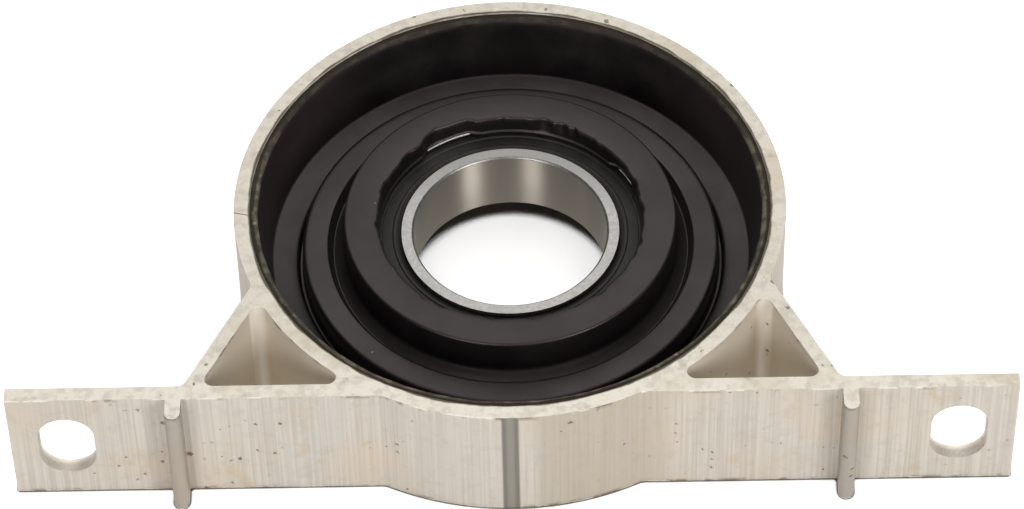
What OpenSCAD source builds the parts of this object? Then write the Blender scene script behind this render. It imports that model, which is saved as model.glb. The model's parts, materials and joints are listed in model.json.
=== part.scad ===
// Driveshaft centre bearing: a ball bearing held by a rubber bush in an extruded bracket.
// The shaft axis is Z, and the origin is the middle of the bearing's bore.
// X runs along the mounting plate, and the ring lies on the +Y side of the plate.

/* [Bracket extrusion] */
// Length of extrusion that the bracket is sawn to
bracket_h = 22; // [20:0.5:30]
// Height of the bearing's middle above the bracket's lower end
bearing_rise = 9.9; // [9.6:0.1:11]
// Diameter of the ring's bore, which the rubber is bonded to
ring_bore_d = 80.2; // [79.6:0.2:84]
// Wall of the ring
ring_wall = 2.4; // [2:0.1:4]
// Length of the mounting plate
plate_len = 151; // [148:1:170]
// Thickness of the mounting plate
plate_t = 2.4; // [2:0.1:4]
// Distance from the shaft axis to the plate's outer face
plate_drop = 37.8; // [37:0.1:39]
// Distance from a bolt slot's middle to the end of the plate
slot_edge = 8.5; // [7:0.1:11]
// Width of a bolt slot, for an 8 mm bolt
slot_w = 8.4; // [6:0.1:10]
// Length of a bolt slot along the shaft
slot_len = 12.5; // [11:0.5:16]
// Distance between the ribs on the outer face
rib_spacing = 100.7; // [90:0.1:110]
// Thickness of a rib
rib_t = 2.4; // [1.5:0.1:4]
// Height of a rib above the plate
rib_h = 3.9; // [2:0.1:6]
// Distance between the gussets where they meet the plate
gusset_spacing = 95.5; // [92:0.5:100]
// Thickness of a gusset
gusset_t = 2.2; // [1.6:0.1:3]
// Lean of a gusset from the plate's normal, in degrees
gusset_lean = 26.5; // [24:0.5:30]
// Fillet in the corners of the gusset openings
pocket_fillet = 1.3; // [0.6:0.1:2]
// Fillet where the ring meets the plate's outer face and the gussets
blend_fillet = 1.6; // [0.6:0.1:3]

/* [Rubber bush] */
// Thickness of the lining at the ring's rim
lining_top_t = 1.3; // [0.8:0.1:2]
// Thickness of the lining at the ledge
lining_foot_t = 3; // [2.2:0.1:4]
// How far the lining stops short of the bracket's ends
lining_short = 0.3; // [0.2:0.1:1]
// Height of the ledge above the bearing's middle
ledge_z = 0.5; // [0:0.1:1.5]
// Width of the deep groove between ledge and ridge
deep_groove_w = 1.1; // [0.8:0.1:2]
// Depth of the deep groove below the ledge
deep_groove_depth = 2; // [1:0.1:3]
// Width of the ridge
ridge_w = 4.3; // [3.6:0.1:5]
// Height of the ridge above the bearing's middle
ridge_z = 3; // [2:0.1:4]
// Depth of the groove between the ridge and the collar
foot_groove_depth = 2; // [1:0.1:2.5]
// Width of the groove between the ridge and the collar
foot_groove_w = 2; // [1:0.1:2.5]
// Step at the collar's foot
foot_step = 0.4; // [0.2:0.1:0.6]
// Wall of rubber outside the sleeve
collar_wall = 1.2; // [0.9:0.1:1.6]
// Rubber over the sleeve's flange
collar_cover = 2.2; // [1.5:0.1:3]
// Rubber over the flange's inner edge
flange_cover = 0.5; // [0.3:0.1:0.8]
// Rubber under the sleeve's lower end
skirt_cover = 1.2; // [0.8:0.1:1.6]
// Depth of the underside below the bearing's middle
web_under_z = 5; // [4:0.1:6]
// Slope of the walls under the web, sideways
web_draft = 1; // [0.5:0.1:1.5]
// Edge rounding of the rubber
rubber_round = 0.45; // [0.2:0.05:0.5]
// Film of bonding agent between rubber and metal
bond_film = 0.02; // [0.01:0.01:0.05]

/* [Bearing sleeve] */
// Wall of the pressed sleeve
sleeve_t = 1; // [0.8:0.1:1.4]
// Reach of the flange over the outer ring
flange_reach = 2.6; // [1.8:0.1:2.8]
// Length of sleeve below the bearing
sleeve_tail = 2; // [1:0.1:2.2]

/* [Ball bearing] */
// Diameter of the shaft bore
bore_d = 30; // [28:0.5:30]
// Outside diameter of the bearing
bearing_od = 47; // [47:0.5:48]
// Width of the bearing
bearing_w = 11; // [10.6:0.1:12]
// Chamfer at the ends of the shaft bore
bore_chamfer = 0.3; // [0.2:0.1:0.8]
// Chamfer at the ends of the outer ring
rim_chamfer = 0.6; // [0.3:0.1:0.8]
// Share of the height between bore and outside that a ball takes up
ball_fill = 0.56; // [0.53:0.01:0.58]
// Number of balls
ball_count = 14; // [10:1:15]
// Radius of a race groove as a multiple of the ball's
race_open = 1.03; // [1.02:0.01:1.06]
// Gap between a ball and its race at rest
race_gap = 0.03; // [0.02:0.01:0.05]
// Depth of a race groove below its shoulder
race_depth = 0.73; // [0.5:0.01:0.9]
// Wall of the inner ring where the seal's lip runs
seal_land_t = 1.9; // [1.5:0.1:2.1]
// Width of the step that takes a seal
seal_step_w = 1.6; // [1.5:0.1:1.8]

/* [Seals and cage] */
// Radial depth of the step that takes a seal in the outer ring
seal_step = 0.95; // [0.7:0.05:1.1]
// Extra depth of the groove that holds the seal's bead
bead_groove = 0.4; // [0.2:0.05:0.5]
// Height of the bead
bead_h = 0.7; // [0.5:0.05:0.8]
// Thickness of a seal
seal_t = 0.9; // [0.6:0.1:1]
// How far a seal lies below the bearing's face
seal_sunk = 0.4; // [0.3:0.05:0.6]
// Running gap under a seal's lip
lip_gap = 0.05; // [0.02:0.01:0.08]
// Sheet that the cage is pressed from
cage_t = 0.5; // [0.3:0.05:0.6]
// Radial width of the cage
cage_w = 2; // [1.6:0.1:2.2]
// Gap between a ball and its pocket
pocket_gap = 0.12; // [0.08:0.01:0.2]
// Diameter of a cage rivet
rivet_d = 0.9; // [0.6:0.1:1]
// Diameter of a rivet's head
rivet_head_d = 1.5; // [1.2:0.1:1.6]
// Height of a rivet's head
rivet_head_h = 0.35; // [0.2:0.05:0.5]
// Clearance between pieces that are pressed or clipped together
seat_gap = 0.01; // [0.005:0.005:0.03]

/* [Hidden] */
$fn = 96;
eps = 0.01;
fillet_bite = 0.3;
z_low = -bearing_rise;
z_high = bracket_h - bearing_rise;
ring_r = ring_bore_d / 2;
ring_out_r = ring_r + ring_wall;
plate_back_y = plate_t - plate_drop;
gusset_foot = [gusset_spacing / 2, plate_back_y];
gusset_up = [-sin(gusset_lean), cos(gusset_lean)];
gusset_out = [cos(gusset_lean), sin(gusset_lean)];
gusset_inner = gusset_out * gusset_foot - gusset_t / 2;
gusset_outer = gusset_out * gusset_foot + gusset_t / 2;
slot_x = plate_len / 2 - slot_edge;
slot_z = (z_low + z_high) / 2;
slot_run = slot_len - slot_w;
half_w = bearing_w / 2;
pitch_r = (bore_d + bearing_od) / 4;
ball_r = ball_fill * (bearing_od - bore_d) / 4;
race_r = ball_r * race_open;
inner_race_r = pitch_r - ball_r - race_gap;
outer_race_r = pitch_r + ball_r + race_gap;
inner_shoulder_r = inner_race_r + race_depth;
outer_shoulder_r = outer_race_r - race_depth;
seal_land_r = bore_d / 2 + seal_land_t;
seal_step_r = outer_shoulder_r + seal_step;
step_z = half_w - seal_step_w;
sleeve_bore_r = bearing_od / 2 + seat_gap;
sleeve_r = sleeve_bore_r + sleeve_t;
flange_r = sleeve_bore_r - flange_reach;
flange_z = half_w + seat_gap;
flange_top_z = flange_z + sleeve_t;
sleeve_low_z = -half_w - sleeve_tail;
collar_r = sleeve_r + bond_film + collar_wall;
collar_top_z = flange_top_z + bond_film + collar_cover;
skirt_z = sleeve_low_z - bond_film - skirt_cover;
pocket_r = ball_r + pocket_gap;
cage_r_in = pitch_r - cage_w / 2;
cage_r_out = pitch_r + cage_w / 2;

function ball_name(i) = str("ball_", i < 10 ? "0" : "", i);
function ball_angle(i) = 360 * (i - 1) / ball_count;

// Points of an outline whose corners are [x, y, radius], each corner rounded by an arc
function unit(v) = v / norm(v);
function corner(a, b, c, r, steps = 6) =
    let (
        u = unit([a.x - b.x, a.y - b.y]),
        v = unit([c.x - b.x, c.y - b.y]),
        half = acos(max(-1, min(1, u * v))) / 2,
        reach = r / tan(half),
        middle = [b.x, b.y] + unit(u + v) * r / sin(half),
        from = [b.x, b.y] + u * reach - middle,
        to = [b.x, b.y] + v * reach - middle,
        start = atan2(from.y, from.x),
        turn = atan2(to.y, to.x) - start,
        sweep = turn > 180 ? turn - 360 : turn < -180 ? turn + 360 : turn)
    [for (k = [0:steps]) middle + r * [cos(start + sweep * k / steps), sin(start + sweep * k / steps)]];
function rounded(p) =
    let (n = len(p))
    [for (i = [0:n - 1])
        each p[i].z > 0 ? corner(p[(i + n - 1) % n], p[i], p[(i + 1) % n], p[i].z) : [[p[i].x, p[i].y]]];

// Fills a corner up to an arc of radius r that touches both sides at the points from and to
module fillet(middle, r, from, to, tip) {
    difference() {
        polygon([
            middle,
            middle + (from - middle) * (1 + fillet_bite / r),
            tip + unit(tip - middle) * fillet_bite,
            middle + (to - middle) * (1 + fillet_bite / r)]);
        translate(middle) circle(r);
    }
}

// Corner between the ring's outside and a straight edge. The edge lies at a distance from the shaft
// axis along normal, runs away from the ring along run, and is open on the side that side gives.
module ring_fillet(distance, normal, run, side, r) {
    reach = distance + side * r;
    along = sqrt(pow(ring_out_r + r, 2) - reach * reach);
    middle = normal * reach + run * along;
    fillet(middle, r,
        normal * distance + run * along,
        middle * ring_out_r / (ring_out_r + r),
        normal * distance + run * sqrt(ring_out_r * ring_out_r - distance * distance));
}

// Corner between the plate's inner face and a straight edge of a gusset
module plate_fillet(distance, normal, side, r) {
    y = plate_back_y + r;
    middle = [(distance + side * r - normal.y * y) / normal.x, y];
    fillet(middle, r,
        [middle.x, plate_back_y],
        middle - normal * side * r,
        [(distance - normal.y * plate_back_y) / normal.x, plate_back_y]);
}

// Where the ring runs into the plate, on the plate's outer face and in the gusset opening
module ring_fillets() {
    ring_fillet(plate_drop, [0, -1], [1, 0], 1, blend_fillet);
    ring_fillet(-plate_back_y, [0, -1], [1, 0], -1, pocket_fillet);
}

module plate_profile() {
    translate([-plate_len / 2, -plate_drop]) square([plate_len, plate_t]);
}

// A gusset leans from its foot on the plate to the middle of the ring's wall
module gusset_profile() {
    wall_r = ring_r + ring_wall / 2;
    low = gusset_up * gusset_foot - plate_t / 2;
    polygon([
        gusset_out * gusset_inner + gusset_up * low,
        gusset_out * gusset_outer + gusset_up * low,
        gusset_out * gusset_outer - gusset_up * sqrt(wall_r * wall_r - gusset_outer * gusset_outer),
        gusset_out * gusset_inner - gusset_up * sqrt(wall_r * wall_r - gusset_inner * gusset_inner)]);
}

module gusset_fillets() {
    ring_fillet(gusset_inner, gusset_out, -gusset_up, -1, pocket_fillet);
    ring_fillet(gusset_outer, gusset_out, -gusset_up, 1, blend_fillet);
    plate_fillet(gusset_inner, gusset_out, -1, pocket_fillet);
    plate_fillet(gusset_outer, gusset_out, 1, blend_fillet);
}

// A rib stands on the plate's outer face and ends in a half round
module rib_profile() {
    tip_y = -plate_drop - rib_h + rib_t / 2;
    translate([rib_spacing / 2 - rib_t / 2, tip_y]) square([rib_t, plate_t / 2 - plate_drop - tip_y]);
    translate([rib_spacing / 2, tip_y]) circle(d = rib_t);
}

// A bolt slot is long along the shaft, so that the bush can be preloaded when it is fitted
module slot_cut() {
    translate([slot_x, -plate_drop - eps, slot_z]) rotate([-90, 0, 0])
        linear_extrude(plate_t + 2 * eps) {
            square([slot_w, slot_run], center = true);
            for (end = [-1, 1]) translate([0, end * slot_run / 2]) circle(d = slot_w);
        }
}

module bracket() {
    color("gainsboro") difference() {
        translate([0, 0, z_low]) union() {
            linear_extrude(bracket_h) circle(ring_out_r);
            linear_extrude(bracket_h) plate_profile();
            for (hand = [0, 1]) mirror([hand, 0, 0]) {
                linear_extrude(bracket_h) gusset_profile();
                linear_extrude(bracket_h) rib_profile();
                linear_extrude(bracket_h) ring_fillets();
                linear_extrude(bracket_h) gusset_fillets();
            }
        }
        translate([0, 0, z_low - eps]) cylinder(r = ring_r, h = bracket_h + 2 * eps);
        for (hand = [0, 1]) mirror([hand, 0, 0]) slot_cut();
    }
}

// The bush is one moulding: lining, ledge, deep groove, ridge, foot groove and collar on its upper side,
// and a plain web with a skirt round the sleeve's tail on its under side
module rubber_bush() {
    rim_r = ring_r - bond_film;
    foot_r = collar_r + foot_step;
    ridge_in_r = foot_r + foot_groove_w;
    ridge_out_r = ridge_in_r + ridge_w;
    ledge_r = ridge_out_r + deep_groove_w;
    deep_z = ledge_z - deep_groove_depth;
    foot_z = ridge_z - foot_groove_depth;
    low_z = z_low + lining_short;
    color("dimgray") rotate_extrude() polygon(rounded([
        [rim_r, z_high - lining_short, 0],
        [rim_r - lining_top_t, z_high - lining_short, rubber_round],
        [rim_r - lining_foot_t, ledge_z, rubber_round],
        [ledge_r, ledge_z, rubber_round],
        [ledge_r, deep_z, rubber_round],
        [ridge_out_r, deep_z, rubber_round],
        [ridge_out_r, ridge_z, rubber_round],
        [ridge_in_r, ridge_z, rubber_round],
        [ridge_in_r, foot_z, rubber_round],
        [foot_r, foot_z, rubber_round],
        [foot_r, ridge_z - foot_step, 0],
        [collar_r, ridge_z, 0],
        [collar_r, collar_top_z, rubber_round],
        [flange_r - flange_cover, collar_top_z, rubber_round],
        [flange_r - flange_cover, flange_z, 0],
        [flange_r - bond_film, flange_z, 0],
        [flange_r - bond_film, flange_top_z + bond_film, 0],
        [sleeve_r + bond_film, flange_top_z + bond_film, 0],
        [sleeve_r + bond_film, sleeve_low_z - bond_film, 0],
        [sleeve_bore_r, sleeve_low_z - bond_film, 0],
        [sleeve_bore_r, skirt_z, 0],
        [collar_r, skirt_z, rubber_round],
        [collar_r + web_draft, -web_under_z, rubber_round],
        [rim_r - lining_foot_t - web_draft, -web_under_z, rubber_round],
        [rim_r - lining_foot_t, low_z, rubber_round],
        [rim_r, low_z, 0]]));
}

module bearing_sleeve() {
    color("silver") rotate_extrude() polygon([
        [sleeve_bore_r, sleeve_low_z],
        [sleeve_r, sleeve_low_z],
        [sleeve_r, flange_top_z],
        [flange_r, flange_top_z],
        [flange_r, flange_z],
        [sleeve_bore_r, flange_z]]);
}

// A race groove is cut by a circle whose middle lies past the ball's middle, so the groove is more open
module race_cut(bottom_r, side) {
    translate([bottom_r + side * race_r, 0]) circle(race_r);
}

module outer_ring() {
    rim_r = bearing_od / 2;
    bead_r = seal_step_r + bead_groove;
    bead_z = step_z + bead_h + 2 * seat_gap;
    color("silver") rotate_extrude() difference() {
        polygon([
            [outer_shoulder_r, -step_z],
            [bead_r, -step_z],
            [bead_r, -bead_z],
            [seal_step_r, -bead_z],
            [seal_step_r, -half_w],
            [rim_r - rim_chamfer, -half_w],
            [rim_r, rim_chamfer - half_w],
            [rim_r, half_w - rim_chamfer],
            [rim_r - rim_chamfer, half_w],
            [seal_step_r, half_w],
            [seal_step_r, bead_z],
            [bead_r, bead_z],
            [bead_r, step_z],
            [outer_shoulder_r, step_z]]);
        race_cut(outer_race_r, -1);
    }
}

module inner_ring() {
    bore_r = bore_d / 2;
    color("lightgray") rotate_extrude() difference() {
        polygon([
            [bore_r + bore_chamfer, -half_w],
            [seal_land_r, -half_w],
            [seal_land_r, -step_z],
            [inner_shoulder_r, -step_z],
            [inner_shoulder_r, step_z],
            [seal_land_r, step_z],
            [seal_land_r, half_w],
            [bore_r + bore_chamfer, half_w],
            [bore_r, half_w - bore_chamfer],
            [bore_r, bore_chamfer - half_w]]);
        race_cut(inner_race_r, 1);
    }
}

// A seal clips into the outer ring by its bead, and its lip runs on the inner ring's land
module seal() {
    bead_r = seal_step_r + bead_groove - seat_gap;
    disc_r = seal_step_r - seat_gap;
    top_z = half_w - seal_sunk;
    disc_z = top_z - seal_t;
    bead_low_z = step_z + seat_gap;
    bead_top_z = bead_low_z + bead_h;
    lip_r = seal_land_r + lip_gap;
    neck_r = seal_land_r + seal_t;
    lip_z = top_z - seal_t / 2;
    root_r = outer_shoulder_r + seat_gap;
    color([0.12, 0.12, 0.12]) rotate_extrude() polygon([
        [lip_r, lip_z - lip_gap],
        [neck_r, disc_z],
        [root_r, disc_z],
        [root_r, bead_low_z],
        [bead_r, bead_low_z],
        [bead_r, bead_top_z],
        [disc_r, bead_top_z],
        [disc_r, top_z],
        [neck_r, top_z],
        [lip_r, lip_z + lip_gap]]);
}

module seal_upper() { seal(); }

module seal_lower() { mirror([0, 0, 1]) seal(); }

module at_balls(shift = 0) {
    for (i = [1:ball_count]) rotate(ball_angle(i + shift)) translate([pitch_r, 0]) children();
}

// Half of a ribbon cage: a flat band with a domed pocket over each ball and a rivet hole between pockets
module cage_half() {
    dome_r = pocket_r + cage_t;
    color("darkgray") difference() {
        intersection() {
            union() {
                translate([0, 0, seat_gap / 2]) cylinder(r = cage_r_out + cage_w, h = cage_t);
                at_balls() sphere(dome_r);
            }
            translate([0, 0, seat_gap / 2]) linear_extrude(2 * dome_r) difference() {
                circle(cage_r_out);
                circle(cage_r_in);
            }
        }
        at_balls() sphere(pocket_r);
        at_balls(0.5) translate([0, 0, -cage_t]) cylinder(d = rivet_d + 2 * seat_gap, h = 3 * cage_t);
    }
}

module cage_upper() { cage_half(); }

module cage_lower() { mirror([0, 0, 1]) cage_half(); }

module cage_rivets() {
    grip = cage_t + seat_gap;
    color("silver") at_balls(0.5) {
        translate([0, 0, -grip]) cylinder(d = rivet_d, h = 2 * grip);
        for (end = [0, 1]) mirror([0, 0, end]) translate([0, 0, grip])
            cylinder(d1 = rivet_head_d, d2 = rivet_d, h = rivet_head_h);
    }
}

module ball(i) {
    color("white") rotate(ball_angle(i)) translate([pitch_r, 0]) sphere(ball_r);
}

bracket();
rubber_bush();
bearing_sleeve();
outer_ring();
inner_ring();
seal_upper();
seal_lower();
cage_upper();
cage_lower();
cage_rivets();
for (i = [1:ball_count]) ball(i);
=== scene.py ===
# %% [markdown]
# # A driveshaft centre bearing
# This part carries the middle of a car's two-piece driveshaft. A ball bearing sits in a rubber bush, and the
# bush is bonded into the ring of an aluminium bracket that bolts under the floor. The CAD frame gives every
# piece its place, in metres, with the shaft along Z and the middle of the bore at the origin.

# %% Load the frame
import json
import math
import random

import bpy
from mathutils import Matrix, Vector
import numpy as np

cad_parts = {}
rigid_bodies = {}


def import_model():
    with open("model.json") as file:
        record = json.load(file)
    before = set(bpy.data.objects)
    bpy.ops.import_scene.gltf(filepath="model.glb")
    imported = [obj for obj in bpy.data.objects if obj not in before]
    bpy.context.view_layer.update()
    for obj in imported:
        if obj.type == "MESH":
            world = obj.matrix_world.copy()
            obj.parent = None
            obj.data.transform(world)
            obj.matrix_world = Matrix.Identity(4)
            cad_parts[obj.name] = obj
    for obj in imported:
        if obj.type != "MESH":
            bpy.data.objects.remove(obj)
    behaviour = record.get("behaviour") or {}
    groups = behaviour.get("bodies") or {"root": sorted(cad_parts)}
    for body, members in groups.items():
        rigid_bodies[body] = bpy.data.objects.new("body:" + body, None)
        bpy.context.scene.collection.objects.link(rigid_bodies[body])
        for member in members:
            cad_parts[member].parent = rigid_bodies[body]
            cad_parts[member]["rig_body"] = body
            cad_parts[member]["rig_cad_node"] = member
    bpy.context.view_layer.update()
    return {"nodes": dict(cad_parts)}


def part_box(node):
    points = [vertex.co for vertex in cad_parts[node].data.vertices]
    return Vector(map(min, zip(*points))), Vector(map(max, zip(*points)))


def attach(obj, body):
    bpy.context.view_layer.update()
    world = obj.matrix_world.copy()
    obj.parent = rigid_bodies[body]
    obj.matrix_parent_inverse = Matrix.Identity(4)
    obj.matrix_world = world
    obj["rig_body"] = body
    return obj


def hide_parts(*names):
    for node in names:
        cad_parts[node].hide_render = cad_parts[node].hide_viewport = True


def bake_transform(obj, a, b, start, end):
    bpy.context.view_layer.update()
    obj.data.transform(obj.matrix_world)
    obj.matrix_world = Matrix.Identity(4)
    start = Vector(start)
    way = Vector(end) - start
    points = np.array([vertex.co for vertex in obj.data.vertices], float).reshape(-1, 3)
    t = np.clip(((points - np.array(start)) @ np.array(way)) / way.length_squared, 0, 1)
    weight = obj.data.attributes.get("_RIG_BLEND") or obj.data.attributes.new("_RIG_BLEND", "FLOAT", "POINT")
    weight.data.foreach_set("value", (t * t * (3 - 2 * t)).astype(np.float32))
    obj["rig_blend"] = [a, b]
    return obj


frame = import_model()
MM = 0.001
bracket_low, bracket_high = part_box("bracket")
print("nodes", len(frame["nodes"]), "bracket", [round(v / MM, 1) for v in bracket_high - bracket_low])

# %% [markdown]
# ## Camera
# The part lies on a sawn end, and the camera looks down at it from the side of the mounting plate. A long
# lens keeps the far rim of the ring nearly as large as the near one. The camera is turned by its own three
# axes: where it looks from, what is right, and what is up, with a small roll.

# %% Camera
PICTURE_W = 1024
PICTURE_H = 509
FOCAL_PX = 4438.3
CENTRE_PX = (511.26, 297.36)
SENSOR_MM = 36.0
camera_target = Vector((0.0, -10.0 * MM, 1.1 * MM))
camera_distance = 684.8 * MM
camera_azimuth = math.radians(0.618)
camera_elevation = math.radians(50.05)
camera_roll = math.radians(-1.386)

level = math.cos(camera_elevation)
back = Vector((math.sin(camera_azimuth) * level, -math.cos(camera_azimuth) * level,
               math.sin(camera_elevation)))
right = Vector((math.cos(camera_azimuth), math.sin(camera_azimuth), 0.0))
up = back.cross(right)
rolled_right = right * math.cos(camera_roll) + up * math.sin(camera_roll)
rolled_up = up * math.cos(camera_roll) - right * math.sin(camera_roll)
axes = Matrix((rolled_right, rolled_up, back)).transposed()

camera_data = bpy.data.cameras.new("camera")
camera_data.sensor_width = SENSOR_MM
camera_data.sensor_fit = "HORIZONTAL"
camera_data.lens = FOCAL_PX * SENSOR_MM / PICTURE_W
camera_data.shift_x = (PICTURE_W / 2 - CENTRE_PX[0]) / PICTURE_W
camera_data.shift_y = (CENTRE_PX[1] - PICTURE_H / 2) / PICTURE_W
camera = bpy.data.objects.new("camera", camera_data)
camera.matrix_world = Matrix.Translation(camera_target + back * camera_distance) @ axes.to_4x4()
bpy.context.scene.collection.objects.link(camera)
bpy.context.scene.camera = camera
bpy.context.scene.view_settings.view_transform = "Standard"
print("lens", round(camera_data.lens, 1), "mm")

# %% [markdown]
# ## Floor
# A product picture needs a white table. The floor adds light of its own for the camera, and a smaller share
# of it for rays off metal, so it reads as white without more light on the part. That light fades where
# something stands close above, and the floor's colour is darkened there too, a painted shadow that keeps the
# shadow under the part deep. An Ambient Occlusion node finds such places, with a short reach along the
# part's edge and a longer one under the bearing. The helpers keep each node, with its values, on a line of
# its own.

# %% Floor
FLOOR_SIZE = 6.0
FLOOR_ROUGHNESS = 0.7
FLOOR_GLOW = 0.6
MIRRORED_GLOW = 0.78
TABLE_WHITE = (0.88, 0.88, 0.87)
TABLE_SHADED = (0.075, 0.064, 0.052)
CONTACT_REACH = 0.6 * MM
CONTACT_FADE = (0.5, 0.9)
BEARING_REACH = 7.0 * MM
BEARING_FADE = (0.59, 0.61)
PAST_BEARING = (26.0 * MM, 30.0 * MM)


def new_material(name):
    """A material with nodes; returns it, its node tree and its Principled shader."""
    material = bpy.data.materials.new(name)
    material.use_nodes = True
    return material, material.node_tree, material.node_tree.nodes["Principled BSDF"]


def add(tree, kind, **values):
    """Adds a node and sets its properties and, by name, its unlinked inputs."""
    node = tree.nodes.new(kind)
    for name, value in values.items():
        if name in node.bl_rna.properties:
            setattr(node, name, value)
        else:
            node.inputs[name].default_value = value
    return node


def feed(tree, value, socket):
    """Links an output to a socket, or writes a plain value into it."""
    if isinstance(value, bpy.types.NodeSocket):
        tree.links.new(value, socket)
    else:
        socket.default_value = value


def maths(tree, operation, first, second=0.0):
    """One Math node; returns its output."""
    node = add(tree, "ShaderNodeMath", operation=operation)
    feed(tree, first, node.inputs[0])
    feed(tree, second, node.inputs[1])
    return node.outputs[0]


def times(tree, first, second):
    """The product of two masks, or of a mask and a share."""
    return maths(tree, "MULTIPLY", first, second)


def fade(tree, value, low, high):
    """A smooth step from 0 at low to 1 at high."""
    node = add(tree, "ShaderNodeMapRange", interpolation_type="SMOOTHSTEP")
    feed(tree, value, node.inputs["Value"])
    feed(tree, low, node.inputs["From Min"])
    feed(tree, high, node.inputs["From Max"])
    return node.outputs["Result"]


def mixed(tree, mask, under, over):
    """Mixes two colours, each an RGB or an output, by a mask."""
    node = add(tree, "ShaderNodeMix", data_type="RGBA")
    feed(tree, mask, node.inputs[0])
    for colour, socket in ((under, node.inputs[6]), (over, node.inputs[7])):
        feed(tree, colour if isinstance(colour, bpy.types.NodeSocket) else (*colour, 1.0), socket)
    return node.outputs[2]


def object_place(tree):
    """The Object coordinates, which stay on the piece when it moves."""
    return add(tree, "ShaderNodeTexCoord").outputs["Object"]


def shaft_distance(tree, coordinates):
    """The distance of each point from the shaft's axis."""
    flat = add(tree, "ShaderNodeVectorMath", operation="MULTIPLY")
    feed(tree, coordinates, flat.inputs[0])
    flat.inputs[1].default_value = (1, 1, 0)
    distance = add(tree, "ShaderNodeVectorMath", operation="LENGTH")
    feed(tree, flat.outputs["Vector"], distance.inputs[0])
    return distance.outputs["Value"]


bpy.ops.object.select_all(action="DESELECT")
bpy.ops.mesh.primitive_plane_add(size=FLOOR_SIZE, location=(0, 0, bracket_low.z))
floor = bpy.context.object
floor.name = "floor"
white_table, tree, surface = new_material("white_table")
close_by = add(tree, "ShaderNodeAmbientOcclusion", samples=16, Distance=CONTACT_REACH)
overhead = add(tree, "ShaderNodeAmbientOcclusion", samples=48, Distance=BEARING_REACH)
past_bearing = fade(tree, shaft_distance(tree, object_place(tree)), *PAST_BEARING)
open_above = maths(tree, "MAXIMUM", fade(tree, overhead.outputs["AO"], *BEARING_FADE), past_bearing)
lit = times(tree, fade(tree, close_by.outputs["AO"], *CONTACT_FADE), open_above)
rays = add(tree, "ShaderNodeLightPath").outputs
mirrored = times(tree, rays["Is Glossy Ray"], MIRRORED_GLOW)
seen = maths(tree, "MAXIMUM", rays["Is Camera Ray"], mirrored)
seen = maths(tree, "MAXIMUM", seen, rays["Is Transmission Ray"])
# The base colour darkens with the same mask: a painted shadow under and beside the part.
feed(tree, mixed(tree, lit, TABLE_SHADED, TABLE_WHITE), surface.inputs["Base Color"])
feed(tree, times(tree, seen, times(tree, lit, FLOOR_GLOW)), surface.inputs["Emission Strength"])
surface.inputs["Emission Color"].default_value = (1, 1, 1, 1)
surface.inputs["Roughness"].default_value = FLOOR_ROUGHNESS
floor.data.materials.append(white_table)
print("floor at", round(bracket_low.z / MM, 2), "mm,", len(tree.nodes), "nodes")

# %% [markdown]
# ## World and lights
# The world gives an even fill. Two small boxes hang high, to the left and right of the camera, and add a
# little light from the front. Two strips stand low on the same sides, because a ground bore shows each of
# them as one bright stripe. A wide box behind gives the rubber and the sawn ends their sheen. Each line of
# the table holds azimuth and elevation in degrees, then distance, width and height in metres, and watts.

# %% World and lights
WORLD_COLOUR = (1.0, 0.99, 0.97, 1)
WORLD_STRENGTH = 0.22
SOFT_BOXES = {
    "box_right": (44, 66, 1.3, 0.24, 0.3, 1.0),
    "box_left": (-24, 66, 1.3, 0.24, 0.3, 1.0),
    "strip_right": (40, 24, 1.2, 0.32, 0.5, 6.9),
    "strip_left": (-24, 24, 1.2, 0.32, 0.5, 5.4),
    "box_back": (180, 63, 1.2, 1.4, 1.1, 7.8),
}


def soft_box(name, azimuth, elevation, distance, width, height, watts):
    """A soft box that faces the part: azimuth 0 is the camera's side, a positive one is to the right."""
    a, e = math.radians(azimuth), math.radians(elevation)
    out = Vector((math.sin(a) * math.cos(e), -math.cos(a) * math.cos(e), math.sin(e)))
    data = bpy.data.lights.new(name, "AREA")
    data.shape = "RECTANGLE"
    data.size = width
    data.size_y = height
    data.energy = watts
    lamp = bpy.data.objects.new(name, data)
    lamp.location = out * distance
    lamp.rotation_euler = out.to_track_quat("Z", "Y").to_euler()
    bpy.context.scene.collection.objects.link(lamp)


world = bpy.data.worlds.new("studio")
world.use_nodes = True
even_fill = world.node_tree.nodes["Background"].inputs
even_fill["Color"].default_value = WORLD_COLOUR
even_fill["Strength"].default_value = WORLD_STRENGTH
bpy.context.scene.world = world
for name, values in SOFT_BOXES.items():
    soft_box(name, *values)
print("lights", len(bpy.data.lights))

# %% [markdown]
# ## Bracket
# The bracket is a slice of an aluminium extrusion: the profile was pushed through a die, and the bar was
# sawn to length. Its shape is already right in the frame, so a merged copy of its CAD node is enough. A
# small bevel eases every sharp edge, because the saw and the tumbling drum leave no edge that is truly
# sharp. Operators act on whatever is selected, so the copy is first made the only selected piece.

# %% Bracket
WELD = 0.001 * MM
FLAT_ANGLE = math.radians(0.5)
SMOOTH_ANGLE = math.radians(35)
BRACKET_EDGE = 0.16 * MM


def activate(piece):
    """Makes one piece the only selected and active one."""
    bpy.ops.object.select_all(action="DESELECT")
    piece.select_set(True)
    bpy.context.view_layer.objects.active = piece


def merged_copy(node, name):
    """A copy of a CAD node as one merged mesh with its flat faces whole, ready for edge work."""
    source = frame["nodes"][node]
    piece = source.copy()
    piece.data = source.data.copy()
    piece.name = name
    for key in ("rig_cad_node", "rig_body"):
        del piece[key]
    piece.parent = None
    piece.data.materials.clear()
    bpy.context.scene.collection.objects.link(piece)
    activate(piece)
    bpy.ops.mesh.customdata_custom_splitnormals_clear()
    bpy.ops.object.mode_set(mode="EDIT")
    bpy.ops.mesh.select_all(action="SELECT")
    bpy.ops.mesh.remove_doubles(threshold=WELD)
    bpy.ops.mesh.dissolve_limited(angle_limit=FLAT_ANGLE)
    bpy.ops.object.mode_set(mode="OBJECT")
    return piece


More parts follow.
